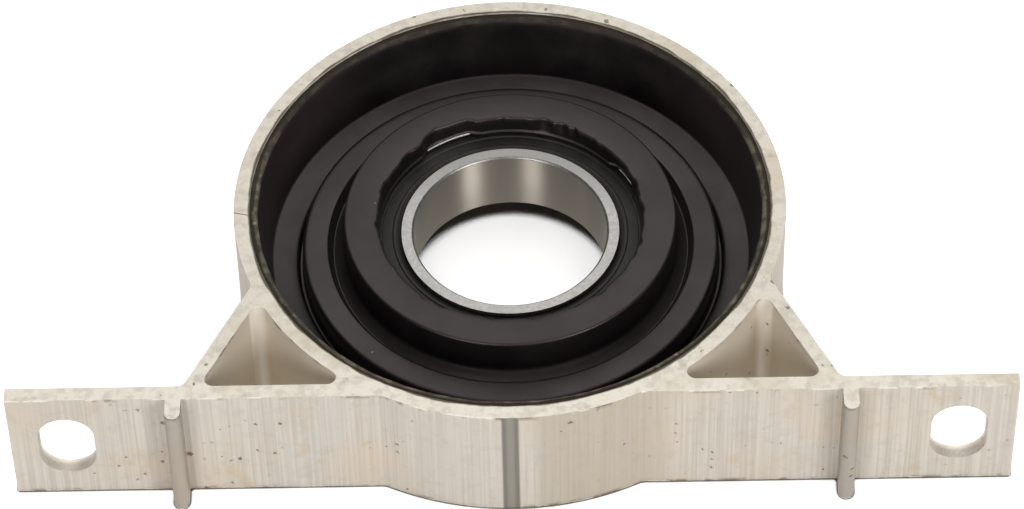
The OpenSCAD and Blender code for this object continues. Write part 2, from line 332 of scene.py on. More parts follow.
def ease_edges(piece, width, sharpness=30):
    """Bevels every edge sharper than an angle, and keeps the flat faces flat in the shading."""
    activate(piece)
    bpy.ops.object.mode_set(mode="EDIT")
    bpy.ops.mesh.select_mode(type="EDGE")
    bpy.ops.mesh.select_all(action="DESELECT")
    bpy.ops.mesh.edges_select_sharp(sharpness=math.radians(sharpness))
    bpy.ops.mesh.bevel(offset=width, segments=2, affect="EDGES", clamp_overlap=True)
    bpy.ops.object.mode_set(mode="OBJECT")
    bpy.ops.object.shade_smooth_by_angle(angle=SMOOTH_ANGLE)
    bpy.ops.object.modifier_add(type="WEIGHTED_NORMAL")
    bpy.context.object.modifiers[-1].keep_sharp = True
    bpy.ops.object.modifier_apply(modifier=bpy.context.object.modifiers[-1].name)


bracket = merged_copy("bracket", "bracket_extrusion")
ease_edges(bracket, BRACKET_EDGE)
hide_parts("bracket")
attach(bracket, "bracket")
print("bracket", len(bracket.data.polygons), "faces")

# %% [markdown]
# ## Rubber bush
# The bush is one moulding: a lining on the ring, a ledge, a narrow gap, a ridge, a groove and a collar that
# folds over the bearing. A round moulding is a profile spun about the shaft. The profile is drawn by
# extruding one vertex from corner to corner, and its marked corners are bevelled. A plain corner close to a
# bevelled one keeps the flat beside it flat in smooth shading. The outline is spun in many small steps, so
# that the moulding flash can be made ragged afterwards. Corners are radius, height and rounding, in mm.

# %% Rubber profile
BUSH_STEPS = 384
CRISP = 0.25
ROUND = 0.45
SOFT = 0.6
RIM_R = 40.08
LIP_TOP_Z = 11.8
COLLAR_R = 25.73
COLLAR_IN_R = 20.41
COLLAR_TOP_Z = 8.73
FILM_IN_R = 20.16
FILM_LOW_Z = 5.52
FLANGE_SEAT_R = 20.89
SEAT_R = 24.52
SEAT_TOP_Z = 6.52
SEAT_LOW_Z = -7.52
TAIL_R = 23.51
TAIL_Z = -8.72
UNDER_Z = -5.0
FOOT_Z = -9.6
CLOSE = 0.01
lining = [(RIM_R, LIP_TOP_Z, 0), (39.4, LIP_TOP_Z, 0), (38.78, LIP_TOP_Z, ROUND), (38.4, 9.3, 0)]
ledge = [(37.2, 0.7, CRISP), (36.7, 0.57, 0), (33.6, -0.2, 0), (33.0, -0.35, ROUND)]
gap = [(32.85, -1.3, 0), (32.55, -1.3, 0)]
ridge = [(32.3, 3.0, SOFT), (31.3, 3.04, 0), (28.8, 3.14, 0), (28.35, 3.16, CRISP)]
groove = [(27.6, 1.4, CRISP), (COLLAR_R, 2.9, ROUND)]
collar = [(COLLAR_R, COLLAR_TOP_Z, ROUND), (21.6, COLLAR_TOP_Z, 0), (COLLAR_IN_R, COLLAR_TOP_Z, ROUND)]
mouth = [(COLLAR_IN_R, 7.6, 0), (COLLAR_IN_R, SEAT_TOP_Z, 0), (COLLAR_IN_R, 6.1, 0),
         (FILM_IN_R, 5.85, 0), (FILM_IN_R, FILM_LOW_Z, 0)]
sleeve_seat = [(FLANGE_SEAT_R, FILM_LOW_Z, 0), (FLANGE_SEAT_R, SEAT_TOP_Z, 0), (SEAT_R, SEAT_TOP_Z, 0),
               (SEAT_R, SEAT_LOW_Z, 0), (TAIL_R, SEAT_LOW_Z, 0)]
underside = [(TAIL_R, TAIL_Z, 0), (COLLAR_R, TAIL_Z, ROUND), (26.73, UNDER_Z, ROUND),
             (36.08, UNDER_Z, ROUND), (37.08, FOOT_Z, ROUND), (RIM_R, FOOT_Z, 0)]
bush_corners = lining + ledge + gap + ridge + groove + collar + mouth + sleeve_seat + underside


def select_vertices(piece, wanted):
    """In edit mode, selects the vertices whose place passes a test."""
    bpy.ops.mesh.select_mode(type="VERT")
    bpy.ops.mesh.select_all(action="DESELECT")
    bpy.ops.object.mode_set(mode="OBJECT")
    for vertex in piece.data.vertices:
        vertex.select = bool(wanted(vertex.co))
    bpy.ops.object.mode_set(mode="EDIT")


def draw_outline(name, corners):
    """Draws a closed outline of (radius, height, rounding) corners in XZ by extruding a vertex."""
    bpy.ops.object.select_all(action="DESELECT")
    bpy.ops.mesh.primitive_plane_add(size=MM)
    piece = bpy.context.object
    piece.name = name
    bpy.ops.object.mode_set(mode="EDIT")
    bpy.ops.mesh.select_mode(type="VERT")
    bpy.ops.mesh.select_all(action="SELECT")
    bpy.ops.mesh.merge(type="CENTER")
    pen = (0.0, 0.0)
    for index, (radius, height, _) in enumerate(corners):
        step = ((radius - pen[0]) * MM, 0.0, (height - pen[1]) * MM)
        if index == 0:
            bpy.ops.transform.translate(value=step)
        else:
            bpy.ops.mesh.extrude_vertices_move(TRANSFORM_OT_translate={"value": step})
        pen = (radius, height)
    bpy.ops.mesh.select_all(action="SELECT")
    bpy.ops.mesh.edge_face_add()
    bpy.ops.mesh.delete(type="ONLY_FACE")
    return piece


def spin_outline(piece, corners, steps):
    """Rounds each corner of an outline by its own size and spins it into one closed mesh."""
    for rounding in sorted({size for _, _, size in corners if size}):
        marked = [Vector((r * MM, 0.0, z * MM)) for r, z, size in corners if size == rounding]
        select_vertices(piece, lambda co: min((co - corner).length for corner in marked) < CLOSE * MM)
        bpy.ops.mesh.bevel(offset=rounding * MM, segments=3, affect="VERTICES")
    bpy.ops.mesh.select_all(action="SELECT")
    bpy.ops.mesh.spin(steps=steps, angle=math.tau, center=(0, 0, 0), axis=(0, 0, 1))
    bpy.ops.mesh.select_all(action="SELECT")
    bpy.ops.mesh.remove_doubles(threshold=WELD)
    bpy.ops.mesh.normals_make_consistent(inside=False)
    bpy.ops.object.mode_set(mode="OBJECT")


bush = draw_outline("rubber_bush_moulding", bush_corners)
spin_outline(bush, bush_corners, BUSH_STEPS)
print("bush", len(bush.data.vertices), "vertices")

# %% [markdown]
# Rubber squeezes out where the mould halves meet, and the film is torn off by hand. The collar's mouth gets
# random bites, pushed in or out with proportional editing and a fixed seed. At two places the film is torn
# away, in steps that taper to the ends, and the bright flange of the sleeve shows there. The rim of the
# lining is shaken and smoothed a little.

# %% Ragged flash
MOUTH_R = 20.88
MOUTH_LOW_Z = 7.0
FLASH_BITES = 44
BITE_ANGLE = 0.7
BITE_PUSH = (-0.012, 0.022)
BITE_SPREAD = (0.7, 1.8)
TORN_MOUTHS = [(103, 132, 9.0, 1.042), (20, 40, 7.2, 1.041)]
TORN_R = 21.9
TORN_LOW_Z = 5.4
TEAR_STEPS = 5
TEAR_TAPER = 1.1
RIM_FILM_IN_R = 38.3
RIM_FILM_OUT_R = 39.6
RIM_FILM_Z = 11.2
RIM_SHAKE = 0.35 * MM
BUSH_SMOOTH_ANGLE = math.radians(40)
dice = random.Random(12)


def polar(co):
    """Radius in mm and angle in degrees of a point about the shaft."""
    return math.hypot(co.x, co.y) / MM, math.degrees(math.atan2(co.y, co.x)) % 360


activate(bush)
bpy.ops.object.mode_set(mode="EDIT")
for bite in range(FLASH_BITES):
    middle = 360 * (bite + dice.random()) / FLASH_BITES
    push = 1 + dice.uniform(*BITE_PUSH)
    spread = dice.uniform(*BITE_SPREAD) * MM
    select_vertices(bush, lambda co: polar(co)[0] < MOUTH_R and co.z > MOUTH_LOW_Z * MM
                    and abs(polar(co)[1] - middle) < BITE_ANGLE)
    bpy.ops.transform.resize(value=(push, push, 1.0), center_override=(0, 0, 0), use_proportional_edit=True,
                             proportional_edit_falloff="SMOOTH", proportional_size=spread)
for first, last, top, push in TORN_MOUTHS:
    step_push = push ** (1 / TEAR_STEPS)
    middle = (first + last) / 2
    for step in range(TEAR_STEPS):
        reach = (last - first) / 2 - step * TEAR_TAPER
        select_vertices(bush, lambda co: polar(co)[0] < TORN_R and TORN_LOW_Z < co.z / MM < top
                        and abs(polar(co)[1] - middle) < reach)
        bpy.ops.transform.resize(value=(step_push, step_push, 1.0), center_override=(0, 0, 0))
select_vertices(bush, lambda co: RIM_FILM_IN_R < polar(co)[0] < RIM_FILM_OUT_R and co.z > RIM_FILM_Z * MM)
bpy.ops.transform.vertex_random(offset=RIM_SHAKE, uniform=0.0, normal=0.0, seed=8)
bpy.ops.mesh.vertices_smooth(factor=0.5, repeat=5)
bpy.ops.object.mode_set(mode="OBJECT")
bpy.ops.object.shade_smooth_by_angle(angle=BUSH_SMOOTH_ANGLE)
print("ragged flash", FLASH_BITES, "bites,", len(TORN_MOUTHS), "tears")

# %% [markdown]
# The rubber is bonded to the ring outside and to the sleeve inside, so it shears when the bearing moves
# along the shaft. A blend gives each vertex one weight. A bush shears by radius rather than along one
# direction, so the weights are then written by radius: the lining stays with the bracket and the collar
# goes with the bearing.

# %% Let the bush shear
HELD_R = 36.5
CARRIED_R = 26.2
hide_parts("rubber_bush")
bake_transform(bush, "bracket", "carrier", start=(HELD_R * MM, 0, 0), end=(CARRIED_R * MM, 0, 0))
weights = bush.data.attributes["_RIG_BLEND"]
for vertex, entry in zip(bush.data.vertices, weights.data):
    share = min(1.0, max(0.0, (HELD_R - polar(vertex.co)[0]) / (HELD_R - CARRIED_R)))
    entry.value = share * share * (3 - 2 * share)
print("bush carried by the bearing", sum(1 for entry in weights.data if entry.value > 0.99), "vertices")

# %% [markdown]
# ## Inner ring
# Bearing rings are turned, hardened and ground, and the grinder leaves a fine bright edge. The inner ring is
# a merged copy of its CAD node with eased edges, so that its face and its bore can have different finishes.

# %% Inner ring
RING_EDGE = 0.07 * MM
inner_ring = merged_copy("inner_ring", "inner_ring_ground")
ease_edges(inner_ring, RING_EDGE, sharpness=40)
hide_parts("inner_ring")
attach(inner_ring, "inner_ring")
print("inner ring", len(inner_ring.data.polygons), "faces")

# %% [markdown]
# ## Bearing sleeve
# The sleeve is a cup pressed from zinc-plated sheet. The cut edge of its flange is broken by a chamfer,
# which is the pale line that shows where the rubber is torn. The bevel of the other edges is small enough
# to leave a narrow wall below the chamfer, so no two bevels meet in a face of no width.

# %% Bearing sleeve
FLANGE_R = 20.91
FLANGE_CHAMFER = 0.8 * MM
SLEEVE_EDGE = 0.08 * MM
sleeve_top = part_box("bearing_sleeve")[1].z
sleeve = merged_copy("bearing_sleeve", "bearing_sleeve_cup")
activate(sleeve)
bpy.ops.object.mode_set(mode="EDIT")
select_vertices(sleeve, lambda co: polar(co)[0] < FLANGE_R + CLOSE and co.z > sleeve_top - CLOSE * MM)
bpy.ops.mesh.bevel(offset=FLANGE_CHAMFER, segments=1, affect="EDGES")
bpy.ops.object.mode_set(mode="OBJECT")
ease_edges(sleeve, SLEEVE_EDGE)
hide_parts("bearing_sleeve")
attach(sleeve, "carrier")
print("sleeve", len(sleeve.data.polygons), "faces")

# %% [markdown]
# ## Seals
# A rubber seal closes each side of the bearing. It is a thin moulded disc with a lip that runs on the inner
# ring, and a shallow channel in its face. It is drawn and spun as the bush was. The lower one is the same
# outline turned over.

# %% Seals
SEAL_ROUND = 0.07
SEAL_STEPS = 160
SEAL_LIP_R = 16.97
SEAL_OUT_R = 21.84
SEAL_BACK_Z = 4.22
SEAL_FACE_Z = 5.08
CHANNEL_Z = 4.93
seal_back = [(SEAL_LIP_R, 4.60, 0), (17.8, SEAL_BACK_Z, 0), (SEAL_OUT_R, SEAL_BACK_Z, 0)]
seal_face = [(SEAL_OUT_R, SEAL_FACE_Z, SEAL_ROUND), (19.95, SEAL_FACE_Z, SEAL_ROUND), (19.8, CHANNEL_Z, 0),
             (18.3, CHANNEL_Z, 0), (18.15, SEAL_FACE_Z, SEAL_ROUND), (17.75, SEAL_FACE_Z, SEAL_ROUND),
             (SEAL_LIP_R, 4.70, 0)]
seals = []
for node, side in (("seal_upper", 1), ("seal_lower", -1)):
    outline = [(r, z * side, size) for r, z, size in seal_back + seal_face]
    seal = draw_outline(node + "_disc", outline)
    spin_outline(seal, outline, SEAL_STEPS)
    bpy.ops.object.shade_smooth_by_angle(angle=SMOOTH_ANGLE)
    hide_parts(node)
    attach(seal, "carrier")
    seals.append(seal)
print("seals", [len(seal.data.polygons) for seal in seals], "faces")

# %% [markdown]
# ## Effects that several finishes share
# A shader node group is built once and placed in each material with its own values. Die lines are noise
# that is stretched along the shaft, because the die drags every scratch that way. Patches are soft clouds.
# Turning marks are noise that changes with the radius and the height, but not round the shaft.

# %% Die lines, patches and turning marks
DIE_DRAG = (1.0, 1.0, 0.012)


def new_group(name, **inputs):
    """A node group with a Coordinates input, the named number inputs and one Mask output."""
    group = bpy.data.node_groups.new(name, "ShaderNodeTree")
    group.interface.new_socket(name="Coordinates", in_out="INPUT", socket_type="NodeSocketVector")
    for socket, value in inputs.items():
        number = group.interface.new_socket(name=socket, in_out="INPUT", socket_type="NodeSocketFloat")
        number.default_value = value
    group.interface.new_socket(name="Mask", in_out="OUTPUT", socket_type="NodeSocketFloat")
    return group, add(group, "NodeGroupInput").outputs, add(group, "NodeGroupOutput").inputs["Mask"]


def noise(tree, coordinates, scale, detail=3.0, roughness=0.55):
    """A noise texture; returns its value."""
    node = add(tree, "ShaderNodeTexNoise", Detail=detail, Roughness=roughness)
    feed(tree, coordinates, node.inputs["Vector"])
    feed(tree, scale, node.inputs["Scale"])
    return node.outputs["Fac"]


def split_axes(tree, coordinates):
    """Splits coordinates into X, Y and Z."""
    split = add(tree, "ShaderNodeSeparateXYZ")
    feed(tree, coordinates, split.inputs["Vector"])
    return split.outputs


die_lines, given, result = new_group("die_lines", Fineness=1500.0)
stretched = add(die_lines, "ShaderNodeMapping", Scale=DIE_DRAG)
feed(die_lines, given["Coordinates"], stretched.inputs["Vector"])
feed(die_lines, noise(die_lines, stretched.outputs["Vector"], given["Fineness"]), result)

patches, given, result = new_group("patches", Fineness=80.0, Low=0.5, High=0.75)
cloud = noise(patches, given["Coordinates"], given["Fineness"], detail=5.0)
feed(patches, fade(patches, cloud, given["Low"], given["High"]), result)

turning_marks, given, result = new_group("turning_marks", Fineness=4000.0)
along = add(turning_marks, "ShaderNodeCombineXYZ")
feed(turning_marks, shaft_distance(turning_marks, given["Coordinates"]), along.inputs["X"])
feed(turning_marks, split_axes(turning_marks, given["Coordinates"])["Z"], along.inputs["Y"])
feed(turning_marks, noise(turning_marks, along.outputs["Vector"], given["Fineness"]), result)
print("node groups", [group.name for group in bpy.data.node_groups])

# %% [markdown]
# Specks are the middles of random cells. Each cell draws a colour by lot: its red says whether the cell has
# a speck, and its green how large it is. A little noise on the coordinates makes the specks ragged.

# %% Specks
SPECK_RAGGED = 1.1 * MM
SPECK_CORE = 0.6
specks, given, result = new_group("specks", Fineness=300.0, Size=0.25, Share=0.2)
wobble = add(specks, "ShaderNodeTexNoise", Scale=1500.0, Detail=3.0)
feed(specks, given["Coordinates"], wobble.inputs["Vector"])
shaken = add(specks, "ShaderNodeVectorMath", operation="MULTIPLY_ADD")
feed(specks, wobble.outputs["Color"], shaken.inputs[0])
shaken.inputs[1].default_value = (SPECK_RAGGED, SPECK_RAGGED, SPECK_RAGGED)
feed(specks, given["Coordinates"], shaken.inputs[2])
cells = add(specks, "ShaderNodeTexVoronoi")
feed(specks, shaken.outputs["Vector"], cells.inputs["Vector"])
feed(specks, given["Fineness"], cells.inputs["Scale"])
lot = add(specks, "ShaderNodeSeparateColor")
feed(specks, cells.outputs["Color"], lot.inputs["Color"])
reach = times(specks, given["Size"], lot.outputs["Green"])
near = fade(specks, cells.outputs["Distance"], reach, times(specks, reach, SPECK_CORE))
chosen = maths(specks, "LESS_THAN", lot.outputs["Red"], given["Share"])
feed(specks, times(specks, near, chosen), result)
print("specks", len(specks.nodes), "nodes")

# %% [markdown]
# ## Extruded skin
# Mill-finish aluminium is a warm pale grey. Long die lines run the way the bar was pushed, fine ones that
# come and go and a few wide pale ones. A finish is built in layers: each one mixes its tint over the colour
# so far, by a mask and at most by a share.

# %% Extruded skin
SKIN_DARK = (0.425, 0.385, 0.331)
SKIN_LIGHT = (0.548, 0.503, 0.441)
PALE_LINE = (0.66, 0.615, 0.55)


def placed(tree, group, coordinates, **values):
    """Places a node group and returns its mask."""
    node = add(tree, "ShaderNodeGroup")
    node.node_tree = group
    feed(tree, coordinates, node.inputs["Coordinates"])
    for name, value in values.items():
        node.inputs[name].default_value = value
    return node.outputs["Mask"]


def tinted(tree, colour, mask, share, tint):
    """Lays a tint over a colour, by a mask and at most by a share."""
    return mixed(tree, times(tree, mask, share), colour, tint)


skin, tree, surface = new_material("extruded_aluminium")
here = object_place(tree)
fine_lines = placed(tree, die_lines, here, Fineness=2600.0)
wide_lines = placed(tree, die_lines, here, Fineness=190.0)
lined = placed(tree, patches, here, Fineness=38.0, Low=0.26, High=0.48)
drawn = times(tree, maths(tree, "SUBTRACT", fade(tree, fine_lines, 0.3, 0.7), 0.5), lined)
colour = mixed(tree, maths(tree, "ADD", drawn, 0.5), SKIN_DARK, SKIN_LIGHT)
colour = tinted(tree, colour, fade(tree, wide_lines, 0.48, 0.7), 0.22, PALE_LINE)
print("skin lines", len(tree.nodes), "nodes")

# %% [markdown]
# Stains come next: tan and cool grey clouds, bruises, freckles and ochre spots. Each line of the table holds
# the fineness of a stain, the noise values between which it fades in, its share and its tint. The front is
# yellowed to the right of the wide dark band. The faces behind the plate are painted paler, a painted light
# that lifts the shade in the pockets, less so near the upper end. The inner corner of each pocket gets a
# painted highlight, and the front of the two ribs is darker, in streaks along the fine die lines.

# %% Stains on the skin
SKIN_STAINS = {
    "tan": (55.0, 0.45, 0.72, 0.6, (0.53, 0.415, 0.30)),
    "cool_grey": (83.0, 0.5, 0.72, 0.5, (0.47, 0.455, 0.44)),
    "bruise": (240.0, 0.55, 0.75, 0.3, (0.36, 0.315, 0.265)),
    "freckle": (520.0, 0.52, 0.68, 0.3, (0.40, 0.352, 0.295)),
    "ochre": (170.0, 0.6, 0.72, 0.5, (0.45, 0.345, 0.225)),
}
YELLOWED = (0.335, 0.28, 0.205)
YELLOW_FROM_X = (2.0 * MM, 5.0 * MM)
YELLOW_TO_X = (26.0 * MM, 18.0 * MM)
POCKET_PAINTED_UPPER = (0.665, 0.592, 0.49)
POCKET_PAINTED_DEEP = (0.99, 0.91, 0.775)
POCKET_Z = (12.0 * MM, -2.0 * MM)
PLATE_BACK_Y = (-36.6 * MM, -35.4 * MM)
POCKET_LIGHT_END_Y = (-16.0 * MM, -19.0 * MM)
RIB_DARKER = (0.25, 0.216, 0.178)
RIB_Y = (-38.0 * MM, -38.6 * MM)
RIB_FROM_X = (45.0 * MM, 46.0 * MM)
PAINTED_HIGHLIGHT = (1.0, 0.95, 0.86)
HIGHLIGHT_REACH = (1.4 * MM, 1.0 * MM)
POCKET_CORNER = (38.3 * MM, -21.2 * MM, 0.0)


def stained(tree, colour, coordinates, stains):
    """Lays a table of cloudy stains over a colour."""
    for fineness, low, high, share, tint in stains.values():
        clouds = placed(tree, patches, coordinates, Fineness=fineness, Low=low, High=high)
        colour = tinted(tree, colour, clouds, share, tint)
    return colour


def between(tree, mask, low, high):
    """A value that goes from low to high with a mask."""
    node = add(tree, "ShaderNodeMapRange")
    feed(tree, mask, node.inputs["Value"])
    node.inputs["To Min"].default_value = low
    node.inputs["To Max"].default_value = high
    return node.outputs["Result"]


place = split_axes(tree, here)
from_middle = maths(tree, "ABSOLUTE", place["X"])
yellowed = times(tree, fade(tree, place["X"], *YELLOW_FROM_X), fade(tree, place["X"], *YELLOW_TO_X))
pocket_painted_light = times(tree, fade(tree, place["Y"], *PLATE_BACK_Y), fade(tree, place["Y"], *POCKET_LIGHT_END_Y))
deep = fade(tree, place["Z"], *POCKET_Z)
on_rib = times(tree, fade(tree, place["Y"], *RIB_Y), fade(tree, from_middle, *RIB_FROM_X))
across = add(tree, "ShaderNodeCombineXYZ")
feed(tree, from_middle, across.inputs["X"])
feed(tree, place["Y"], across.inputs["Y"])
corner = add(tree, "ShaderNodeVectorMath", operation="DISTANCE")
feed(tree, across.outputs["Vector"], corner.inputs[0])
corner.inputs[1].default_value = POCKET_CORNER
corner_highlight = fade(tree, corner.outputs["Value"], *HIGHLIGHT_REACH)
colour = stained(tree, colour, here, SKIN_STAINS)
colour = tinted(tree, colour, yellowed, 0.5, YELLOWED)
# The pocket walls are painted paler, a painted light that lifts their shade, less so near the upper end.
colour = tinted(tree, colour, pocket_painted_light, 0.8, mixed(tree, deep, POCKET_PAINTED_UPPER, POCKET_PAINTED_DEEP))
# The front of the ribs is darker, in streaks along the fine die lines.
colour = tinted(tree, colour, on_rib, between(tree, fine_lines, 0.45, 0.9), RIB_DARKER)
# The inner corner of each pocket gets a painted highlight.
colour = tinted(tree, colour, corner_highlight, between(tree, deep, 0.6, 1.0), PAINTED_HIGHLIGHT)
print("stains on the skin", len(SKIN_STAINS), "kinds,", len(tree.nodes), "nodes")

# %% [markdown]
# Last come the marks: a wide dark band down the middle of the ring's front, dark pits that crowd beside the
# ribs, grime along the sawn edges, and places where those edges are worn bright.

# %% Marks on the skin
DARK_BAND = (0.15, 0.135, 0.115)
DARK_BAND_X = -0.3 * MM
DARK_BAND_EDGE = (1.5 * MM, 1.05 * MM)
DARK_BAND_CORE = (0.2 * MM, 0.9 * MM)
RING_FRONT_Y = (-40.0 * MM, -41.0 * MM)
PIT = (0.09, 0.043, 0.018)
RIB_X = 50.35 * MM
BESIDE_RIB = (9.0 * MM, 6.0 * MM)
GRIME = (0.15, 0.11, 0.07)
WORN_BRIGHT = (0.84, 0.80, 0.73)
SKIN_METALLIC = 0.22
half_height = (bracket_high.z - bracket_low.z) / 2
mid_height = (bracket_high.z + bracket_low.z) / 2
GRIME_EDGE = (half_height - 0.9 * MM, half_height - 0.2 * MM)
WORN_EDGE = (half_height - 0.4 * MM, half_height - 0.12 * MM)


def off_from(tree, value, middle):
    """How far a value is from a middle, to either side."""
    return maths(tree, "ABSOLUTE", maths(tree, "SUBTRACT", value, middle))


def raised(tree, surface, height, strength, distance):
    """Feeds a height to the surface's normal through a Bump node."""
    bump = add(tree, "ShaderNodeBump", Strength=strength, Distance=distance)
    feed(tree, height, bump.inputs["Height"])
    feed(tree, bump.outputs["Normal"], surface.inputs["Normal"])


off_mark = off_from(tree, place["X"], DARK_BAND_X)
dark_band = times(tree, fade(tree, off_mark, *DARK_BAND_EDGE), fade(tree, place["Y"], *RING_FRONT_Y))
mark_depth = between(tree, fade(tree, off_mark, *DARK_BAND_CORE), 0.78, 1.0)
scattered = times(tree, placed(tree, specks, here, Fineness=760.0, Size=0.36, Share=0.2),
                  placed(tree, patches, here, Fineness=70.0, Low=0.48, High=0.58))
crowded = times(tree, placed(tree, specks, here, Fineness=560.0, Size=0.36, Share=0.13),
                fade(tree, off_from(tree, from_middle, RIB_X), *BESIDE_RIB))
pits = maths(tree, "MAXIMUM", scattered, crowded)
to_end = off_from(tree, place["Z"], mid_height)
grime = times(tree, fade(tree, to_end, *GRIME_EDGE),
              placed(tree, patches, here, Fineness=280.0, Low=0.53, High=0.62))
worn = times(tree, fade(tree, to_end, *WORN_EDGE),
             placed(tree, patches, here, Fineness=210.0, Low=0.5, High=0.58))
# A wide dark band runs down the middle of the ring's front.
colour = tinted(tree, colour, dark_band, mark_depth, DARK_BAND)
colour = tinted(tree, colour, grime, 0.7, GRIME)
colour = tinted(tree, colour, pits, 0.8, PIT)
colour = tinted(tree, colour, worn, 0.7, WORN_BRIGHT)
feed(tree, colour, surface.inputs["Base Color"])
feed(tree, between(tree, fine_lines, 0.4, 0.58), surface.inputs["Roughness"])
surface.inputs["Metallic"].default_value = SKIN_METALLIC
raised(tree, surface, maths(tree, "SUBTRACT", fine_lines, pits), 0.3, 0.06 * MM)
print("skin", len(tree.nodes), "nodes")

# %% [markdown]
# ## Sawn ends
# The saw leaves the ends brighter and grainier than the skin: mottled, stained and pitted, with bright
# specks painted in as glints of torn grains. The metal is paler to the front. A hairline crack crosses the
# ring on the left, and dark bonding agent is smeared along the rubber. Faces get this finish by their place
# and their normal.

# %% Sawn ends
SAWN_DARK = (0.615, 0.569, 0.484)
SAWN_LIGHT = (0.73, 0.686, 0.60)
PALER_FRONT = (0.86, 0.805, 0.70)
PALER_FRONT_Y = (-24.0 * MM, -38.0 * MM)
SAWN_STAINS = {
    "mottle": (640.0, 0.44, 0.66, 0.45, (0.46, 0.415, 0.34)),
    "tan": (120.0, 0.5, 0.72, 0.6, (0.56, 0.475, 0.345)),
    "bruise": (330.0, 0.56, 0.72, 0.5, (0.38, 0.34, 0.285)),
}
PAINTED_GLINT = (0.86, 0.83, 0.76)
SAWN_PIT = (0.14, 0.1, 0.06)
CRACK = (0.09, 0.07, 0.05)
CRACK_ACROSS = (0.23, 0.973, 0.0)
CRACK_OFFSET = -11.11 * MM
CRACK_WIDTH = (0.16 * MM, 0.06 * MM)
CRACK_X = (-39.6 * MM, -40.4 * MM)
CRACK_Z = (0.0, 1.0 * MM)
SMEAR = (0.10, 0.08, 0.05)
SMEAR_R = (40.8 * MM, 40.5 * MM)
SMEAR_RAGGED = 0.5 * MM
SAWN_METALLIC = 0.25
END_SLACK = 0.05 * MM
END_FACING = 0.9

sawn, tree, surface = new_material("sawn_aluminium")
here = object_place(tree)
place = split_axes(tree, here)
grain = noise(tree, here, 4200.0, detail=3.0, roughness=0.7)
pits = placed(tree, specks, here, Fineness=620.0, Size=0.4, Share=0.16)
painted_glints = placed(tree, specks, here, Fineness=1700.0, Size=0.42, Share=0.12)
ragged = times(tree, placed(tree, patches, here, Fineness=150.0, Low=0.2, High=0.8), SMEAR_RAGGED)
smear = fade(tree, maths(tree, "ADD", shaft_distance(tree, here), ragged), *SMEAR_R)
crack = add(tree, "ShaderNodeVectorMath", operation="DOT_PRODUCT")
feed(tree, here, crack.inputs[0])
crack.inputs[1].default_value = CRACK_ACROSS
in_crack = fade(tree, off_from(tree, crack.outputs["Value"], CRACK_OFFSET), *CRACK_WIDTH)
in_crack = times(tree, in_crack, fade(tree, place["X"], *CRACK_X))
in_crack = times(tree, in_crack, fade(tree, place["Z"], *CRACK_Z))
colour = mixed(tree, fade(tree, grain, 0.25, 0.75), SAWN_DARK, SAWN_LIGHT)
# The metal is paler to the front.
colour = tinted(tree, colour, fade(tree, place["Y"], *PALER_FRONT_Y), 0.4, PALER_FRONT)
colour = stained(tree, colour, here, SAWN_STAINS)
# Bright specks are painted glints of torn grains.
colour = tinted(tree, colour, painted_glints, 0.45, PAINTED_GLINT)
colour = tinted(tree, colour, pits, 0.8, SAWN_PIT)
colour = tinted(tree, colour, in_crack, 0.75, CRACK)
colour = mixed(tree, smear, colour, SMEAR)
feed(tree, colour, surface.inputs["Base Color"])
feed(tree, between(tree, grain, 0.4, 0.62), surface.inputs["Roughness"])
surface.inputs["Metallic"].default_value = SAWN_METALLIC
raised(tree, surface, maths(tree, "SUBTRACT", grain, pits), 0.25, 0.06 * MM)

for look in (skin, sawn):
    bracket.data.materials.append(look)
for face in bracket.data.polygons:
    at_end = abs(face.center.z - mid_height) > half_height - END_SLACK
    face.material_index = 1 if at_end and abs(face.normal.z) > END_FACING else 0
print("sawn faces", sum(1 for face in bracket.data.polygons if face.material_index == 1))

# %% [markdown]
# ## Rubber
# Moulded natural rubber filled with soot is a brownish black with a dull sheen. It is a little uneven, and a
# few specks of dust lie on it. A faint brown bloom shows on the lining to the left and right.

# %% Black rubber
RUBBER_DARK = (0.0024, 0.0019, 0.002)
RUBBER_LIGHT = (0.005, 0.0039, 0.0041)
BLOOM = (0.02, 0.0135, 0.0138)
BLOOM_X = (20.0 * MM, 33.0 * MM)
BLOOM_R = (36.3 * MM, 37.3 * MM)
DUST = (0.2, 0.195, 0.19)
RUBBER_SHEEN = 0.55
RUBBER_TINT = (1.0, 0.86, 0.85, 1)
rubber, tree, surface = new_material("black_rubber")
here = object_place(tree)
clouds = placed(tree, patches, here, Fineness=110.0, Low=0.35, High=0.7)
grain = noise(tree, here, 2600.0, detail=3.0)
dust = placed(tree, specks, here, Fineness=240.0, Size=0.07, Share=0.1)
to_side = fade(tree, maths(tree, "ABSOLUTE", split_axes(tree, here)["X"]), *BLOOM_X)
on_lining = fade(tree, shaft_distance(tree, here), *BLOOM_R)
colour = mixed(tree, clouds, RUBBER_DARK, RUBBER_LIGHT)
colour = tinted(tree, colour, to_side, on_lining, BLOOM)
colour = mixed(tree, dust, colour, DUST)
feed(tree, colour, surface.inputs["Base Color"])
feed(tree, between(tree, clouds, 0.385, 0.485), surface.inputs["Roughness"])
surface.inputs["Specular IOR Level"].default_value = RUBBER_SHEEN
surface.inputs["Specular Tint"].default_value = RUBBER_TINT
raised(tree, surface, grain, 0.2, 0.05 * MM)
print("rubber", len(tree.nodes), "nodes")

# %% [markdown]
# The film at the rim is smeared with brown bonding agent. It is nearly black in the wavy gap along the ring
# and darker to the back, so the rim reads as two lines.

